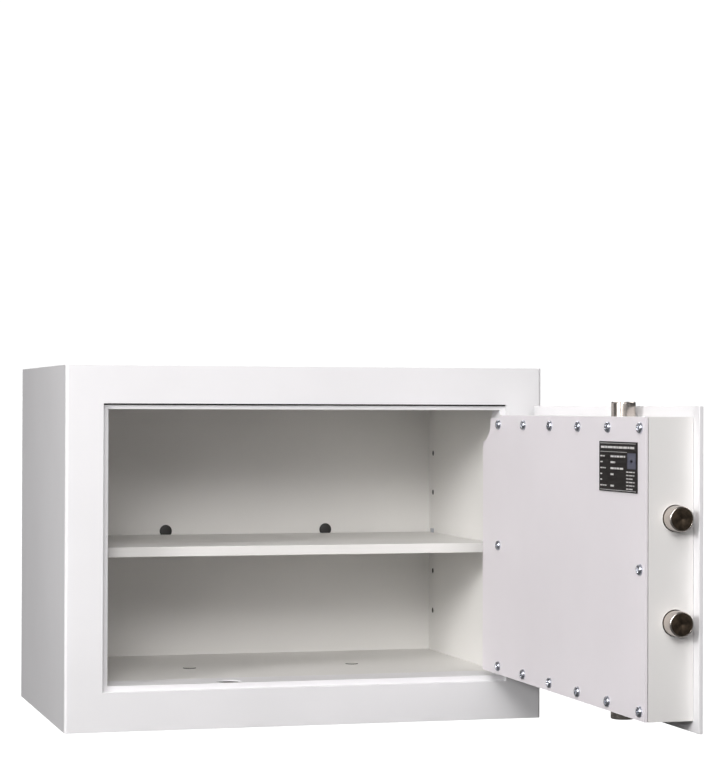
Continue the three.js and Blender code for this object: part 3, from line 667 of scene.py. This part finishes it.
def fit_lever(sizes):
    """A cast lever: a turned hub and a flat, soft-edged grip that ends in a full round."""
    low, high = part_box("lever_handle")
    axis_y, axis_z = low.y + 14.0 * MM, middle("lever_handle").z
    hub = 14.0 * MM
    form = bmesh.new()
    deep = high.x - low.x
    profile = [(0.0, 0.0), (hub - 3.0 * MM, 0.0)] + arc((hub - 3.0 * MM, -2.4 * MM), 2.4 * MM, 90.0, 0.0, 6)
    profile += [(hub - 0.9 * MM, -deep * 0.55), (hub - 0.4 * MM, -deep * 0.85), (hub, -deep), (0.0, -deep)]
    turned(form, profile, sizes.turned_steps)
    spin = axis_frame((high.x, axis_y, axis_z), (1, 0, 0))
    bmesh.ops.transform(form, matrix=spin, verts=form.verts)
    grip_low, grip_high = high.x - 12.0 * MM, high.x - 2.0 * MM
    centre_x, half_deep = (grip_low + grip_high) / 2, (grip_high - grip_low) / 2
    tip, stations, around = high.y, 36, 40
    rings = []
    for k in range(stations + 1):
        t = k / stations
        y = axis_y + (tip - axis_y) * math.sin(t * math.pi / 2)
        reach = (y - axis_y) / (tip - axis_y)
        half = (9.6 - 2.0 * reach) * MM
        left_to_tip = (tip - y) / (7.6 * MM)
        close = math.sqrt(max(0.0, 1.0 - (1.0 - min(1.0, left_to_tip)) ** 2))
        section = superellipse(half_deep * (0.35 + 0.65 * close) * (close > 0), half * close, 2.8, around)
        rings.append([form.verts.new((centre_x + dx, y, axis_z + dz)) for dx, dz in section])
    for first, second in zip(rings, rings[1:]):
        for i in range(around):
            j = (i + 1) % around
            form.faces.new((first[i], first[j], second[j], second[i]))
    form.faces.new(rings[0])
    bmesh.ops.remove_doubles(form, verts=form.verts, dist=1e-6)
    piece = add_piece("lever_handle_cast", form, ["handle_chrome"], "handle",
                      ["lever_handle"])
    smooth_by_angle(piece, 40.0)


def fit_rosette(sizes):
    low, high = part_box("handle_rosette")
    radius, deep = (high.z - low.z) / 2, high.x - low.x
    origin = middle("handle_rosette")
    origin.x = high.x
    profile = [(0.0, -1.2 * MM), (radius * 0.60, -1.2 * MM), (radius * 0.66, -0.35 * MM),
               (radius * 0.74, 0.0)]
    profile += arc((radius - 3.0 * MM, -3.0 * MM), 3.0 * MM, 90.0, 0.0, 8)
    profile += [(radius, -deep), (0.0, -deep)]
    form = bmesh.new()
    turned(form, profile, sizes.turned_steps)
    piece = add_piece("handle_rosette_turned", form, ["handle_chrome"], "door",
                      ["handle_rosette"], axis_frame(origin, (1, 0, 0)))
    smooth_by_angle(piece, 30.0)


def fit_rivet(sizes):
    """The keyhole cover's rivet with a round head."""
    name = "keyhole_cover_rivet"
    low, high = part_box(name)
    radius, deep = (high.z - low.z) / 2, high.x - low.x
    origin = middle(name)
    origin.x = high.x
    head = 1.1 * MM
    profile = [(0.0, 0.0)] + [(radius * math.sin(a), -head * (1.0 - math.cos(a)))
                              for a in (math.radians(15.0 * i) for i in range(1, 7))]
    profile += [(radius * 0.39, -head), (radius * 0.39, -deep), (0.0, -deep)]
    form = bmesh.new()
    turned(form, profile, sizes.turned_steps)
    piece = add_piece(name + "_round", form, ["zinc_plate"], "door", [name],
                      axis_frame(origin, (1, 0, 0)))
    smooth_by_angle(piece, 35.0)


# ---------------------------------------------------------------- studio

MIDDLE = (0.0, -0.15, 0.16)
FLOOR_HALF = 14.0
BACKDROP_RADIUS = 13.0
SHINE_RADIUS = 12.5
SOFTBOX_COLOUR = (1.0, 0.985, 0.985)
RING = 3.0  # from the middle to the softboxes that stand round it
NEAR_SOFTBOXES = (  # name, place, target, size, power
    ("top_softbox", (-0.5, -1.3, 1.5), (0.0, -0.2, 0.1), 0.8, 7.8),
    ("left_softbox", (-1.0, -0.75, 0.35), (-0.22, -0.05, 0.16), 0.5, 2.9),
)
RING_SOFTBOXES = (  # name, degrees round to the left of the front, degrees up, size, power
    ("front_softbox", 0, 20, 0.6, 9.5),
    ("key_softbox", 20, 23, 0.7, 30.5),
    ("low_softbox", 33, 12, 0.7, 8.0),
    ("side_softbox", 60, 17, 0.6, 37.5),
    ("wide_softbox", 90, 40, 1.7, 2.0),
    ("rear_softbox", 189, 50, 1.7, 45.0),
    ("right_softbox", -90, 40, 1.7, 42.0),
)


def unseen_by_light(stand):
    """Shown to the camera alone, so that it lends the object no light."""
    stand.visible_diffuse = False
    stand.visible_glossy = False
    stand.visible_transmission = False
    stand.visible_shadow = False


def add_stage_mesh(name, form, material):
    mesh = bpy.data.meshes.new(name)
    form.to_mesh(mesh)
    form.free()
    mesh.materials.append(material)
    stand = bpy.data.objects.new(name, mesh)
    bpy.context.scene.collection.objects.link(stand)
    return stand


def studio_surface(name, base, glow):
    """Pale surface with a slow noise that also glows."""
    recipe = Recipe(bpy.data.materials.new(name))
    cloud = recipe.noise(1.5, 2.0)
    return recipe.surface({
        "Base Color": recipe.mix(cloud, rgba((base,) * 3), rgba((base * 0.99,) * 3)),
        "Roughness": 0.9,
        "Specular IOR Level": 0.1,
        "Emission Color": (1.0, 1.0, 1.0, 1.0),
        "Emission Strength": glow,
    })


def lay_floor(studio):
    """A pale floor and backdrop for the camera alone, and a faint glow for polished metal alone."""
    form = bmesh.new()
    bmesh.ops.create_grid(form, x_segments=8, y_segments=8, size=FLOOR_HALF)
    unseen_by_light(add_stage_mesh("studio_floor", form, studio_surface("studio_floor", 0.2, studio.glow)))
    for name, radius, glow in (("studio_backdrop", BACKDROP_RADIUS, studio.glow),
                               ("studio_shine", SHINE_RADIUS, studio.shine)):
        dome = bmesh.new()
        bmesh.ops.create_icosphere(dome, subdivisions=4, radius=radius)
        unseen_by_light(add_stage_mesh(name, dome, studio_surface(name, 0.0, glow)))
    shine = bpy.data.objects["studio_shine"]
    shine.visible_camera = False
    shine.visible_glossy = True


def light_world(studio):
    """A dim, even studio; the softboxes do the lighting."""
    world = bpy.data.worlds.new("soft_studio")
    recipe = Recipe(world)
    glow = recipe.add("ShaderNodeBackground",
                      sockets={"Color": (1.0, 0.985, 0.96, 1.0), "Strength": studio.sky})
    recipe.add("ShaderNodeOutputWorld", sockets={"Surface": glow})
    bpy.context.scene.world = world


def add_softbox(name, place, target, size, power):
    light = bpy.data.lights.new(name, "AREA")
    light.shape = "SQUARE"
    light.size = size
    light.energy = power
    light.color = SOFTBOX_COLOUR
    lamp = bpy.data.objects.new(name, light)
    bpy.context.scene.collection.objects.link(lamp)
    lamp.location = place
    lamp.rotation_euler = (Vector(target) - Vector(place)).to_track_quat("-Z", "Y").to_euler()
    return lamp


def on_ring(around, up):
    """A place on the ring of softboxes, by its angles in degrees."""
    turn, rise = math.radians(around), math.radians(up)
    toward = Vector((-math.sin(turn) * math.cos(rise), -math.cos(turn) * math.cos(rise), math.sin(rise)))
    return Vector(MIDDLE) + RING * toward


def set_camera(studio):
    """Camera whose axes come from yaw, then pitch, then roll."""
    yaw, pitch, roll = studio.yaw, studio.pitch, studio.roll
    ahead = Vector((math.sin(yaw) * math.cos(pitch), math.cos(yaw) * math.cos(pitch), math.sin(pitch)))
    level = Vector((math.cos(yaw), -math.sin(yaw), 0.0))
    up = level.cross(ahead)
    right = level * math.cos(roll) + up * math.sin(roll)
    top = up * math.cos(roll) - level * math.sin(roll)
    camera = bpy.data.cameras.new("camera")
    camera.lens = studio.lens
    camera.sensor_width = 36.0
    camera.clip_end = 60.0
    stand = bpy.data.objects.new("camera", camera)
    bpy.context.scene.collection.objects.link(stand)
    stand.matrix_world = Matrix.Translation(studio.camera_place) @ Matrix(
        (right, top, -ahead)).transposed().to_4x4()
    bpy.context.scene.camera = stand


# ---------------------------------------------------------------- operators and panel

class SAFE_OT_cabinet(bpy.types.Operator):
    """Paints the cabinet, its lining, shelf and boards"""

    bl_idname = "safe.cabinet"
    bl_label = "Cabinet"

    def execute(self, context):
        dress_cabinet(context.scene.safe_sizes)
        return {"FINISHED"}


class SAFE_OT_caps(bpy.types.Operator):
    """Fits domed caps over the anchor holes and dark cups in the shelf holes as painted shade"""

    bl_idname = "safe.caps"
    bl_label = "Anchor caps"

    def execute(self, context):
        steps = context.scene.safe_sizes.turned_steps
        for side in ("left", "right"):
            anchor_cap("anchor_plug_back_" + side, "black_plug", (0, -1, 0), steps)
            anchor_cap("anchor_plug_floor_" + side, "white_plug", (0, 0, 1), steps)
        shade_peg_holes(PEG_STEPS)
        return {"FINISHED"}


class SAFE_OT_door(bpy.types.Operator):
    """Paints the door's plate, box and cover"""

    bl_idname = "safe.door"
    bl_label = "Door"

    def execute(self, context):
        dress_door(context.scene.safe_sizes)
        return {"FINISHED"}


class SAFE_OT_screws(bpy.types.Operator):
    """Fits the cover's cross-recess screws"""

    bl_idname = "safe.screws"
    bl_label = "Cover screws"

    def execute(self, context):
        fit_screws(context.scene.safe_sizes)
        return {"FINISHED"}


class SAFE_OT_plate(bpy.types.Operator):
    """Prints the data plate with plain bars"""

    bl_idname = "safe.plate"
    bl_label = "Data plate"

    def execute(self, context):
        print_plate()
        return {"FINISHED"}


class SAFE_OT_bolts(bpy.types.Operator):
    """Fits the four turned locking bolts"""

    bl_idname = "safe.bolts"
    bl_label = "Locking bolts"

    def execute(self, context):
        sizes = context.scene.safe_sizes
        fit_bolt("side_bolt_lower", "side_bolts", (0, -1, 0), sizes)
        fit_bolt("side_bolt_upper", "side_bolts", (0, -1, 0), sizes)
        fit_bolt("top_bolt", "upper_bolt", (0, 0, 1), sizes)
        fit_bolt("bottom_bolt", "lower_bolt", (0, 0, -1), sizes)
        return {"FINISHED"}


class SAFE_OT_works(bpy.types.Operator):
    """Plates the boltwork, lock and hinges inside"""

    bl_idname = "safe.works"
    bl_label = "Boltwork and hinges"

    def execute(self, context):
        edge = context.scene.safe_sizes.sheet_edge
        for node in BOLTWORK + HINGE_PARTS:
            soften(node, "zinc_plate", edge)
        soften("lock_bolt", "bolt_nickel", edge)
        return {"FINISHED"}


class SAFE_OT_fittings(bpy.types.Operator):
    """Fits the handle, rosette and lock fittings outside the door"""

    bl_idname = "safe.fittings"
    bl_label = "Handle and lock"

    def execute(self, context):
        sizes = context.scene.safe_sizes
        fit_lever(sizes)
        fit_rosette(sizes)
        fit_rivet(sizes)
        soften("lock_escutcheon", "handle_chrome", 0.9 * MM, 4)
        soften("keyhole_cover", "handle_chrome", 0.5 * MM, 3)
        soften("key_plug", "handle_chrome", 0.4 * MM, 3)
        return {"FINISHED"}


class SAFE_OT_studio(bpy.types.Operator):
    """Sets the floor, lights and camera"""

    bl_idname = "safe.studio"
    bl_label = "Studio"

    def execute(self, context):
        studio = context.scene.safe_studio
        lay_floor(studio)
        light_world(studio)
        for name, place, target, size, power in NEAR_SOFTBOXES:
            add_softbox(name, place, target, size, power * studio.power)
        for name, around, up, size, power in RING_SOFTBOXES:
            add_softbox(name, on_ring(around, up), MIDDLE, size, power * studio.power)
        set_camera(studio)
        context.scene.view_settings.view_transform = "Standard"
        return {"FINISHED"}


OPERATORS = (SAFE_OT_cabinet, SAFE_OT_caps, SAFE_OT_door, SAFE_OT_screws, SAFE_OT_plate, SAFE_OT_bolts,
             SAFE_OT_works, SAFE_OT_fittings, SAFE_OT_studio)


class SAFE_PT_panel(bpy.types.Panel):
    """Lists the safe's operators in the 3D view's sidebar"""

    bl_idname = "SAFE_PT_panel"
    bl_label = "Document safe"
    bl_space_type = "VIEW_3D"
    bl_region_type = "UI"
    bl_category = "Safe"

    def draw(self, context):
        for operator in OPERATORS:
            self.layout.operator(operator.bl_idname)
        for group in (context.scene.safe_sizes, context.scene.safe_colours, context.scene.safe_studio):
            box = self.layout.box()
            for name in type(group).__annotations__:
                box.prop(group, name)


CLASSES = (SafeColours, SafeSizes, SafeStudio, *OPERATORS, SAFE_PT_panel)


def register():
    for cls in CLASSES:
        bpy.utils.register_class(cls)
    bpy.types.Scene.safe_colours = PointerProperty(type=SafeColours)
    bpy.types.Scene.safe_sizes = PointerProperty(type=SafeSizes)
    bpy.types.Scene.safe_studio = PointerProperty(type=SafeStudio)


def unregister():
    del bpy.types.Scene.safe_studio
    del bpy.types.Scene.safe_sizes
    del bpy.types.Scene.safe_colours
    for cls in reversed(CLASSES):
        bpy.utils.unregister_class(cls)


def main():
    register()
    for operator in OPERATORS:
        group, name = operator.bl_idname.split(".")
        getattr(getattr(bpy.ops, group), name)()


if __name__ == "__main__":
    main()
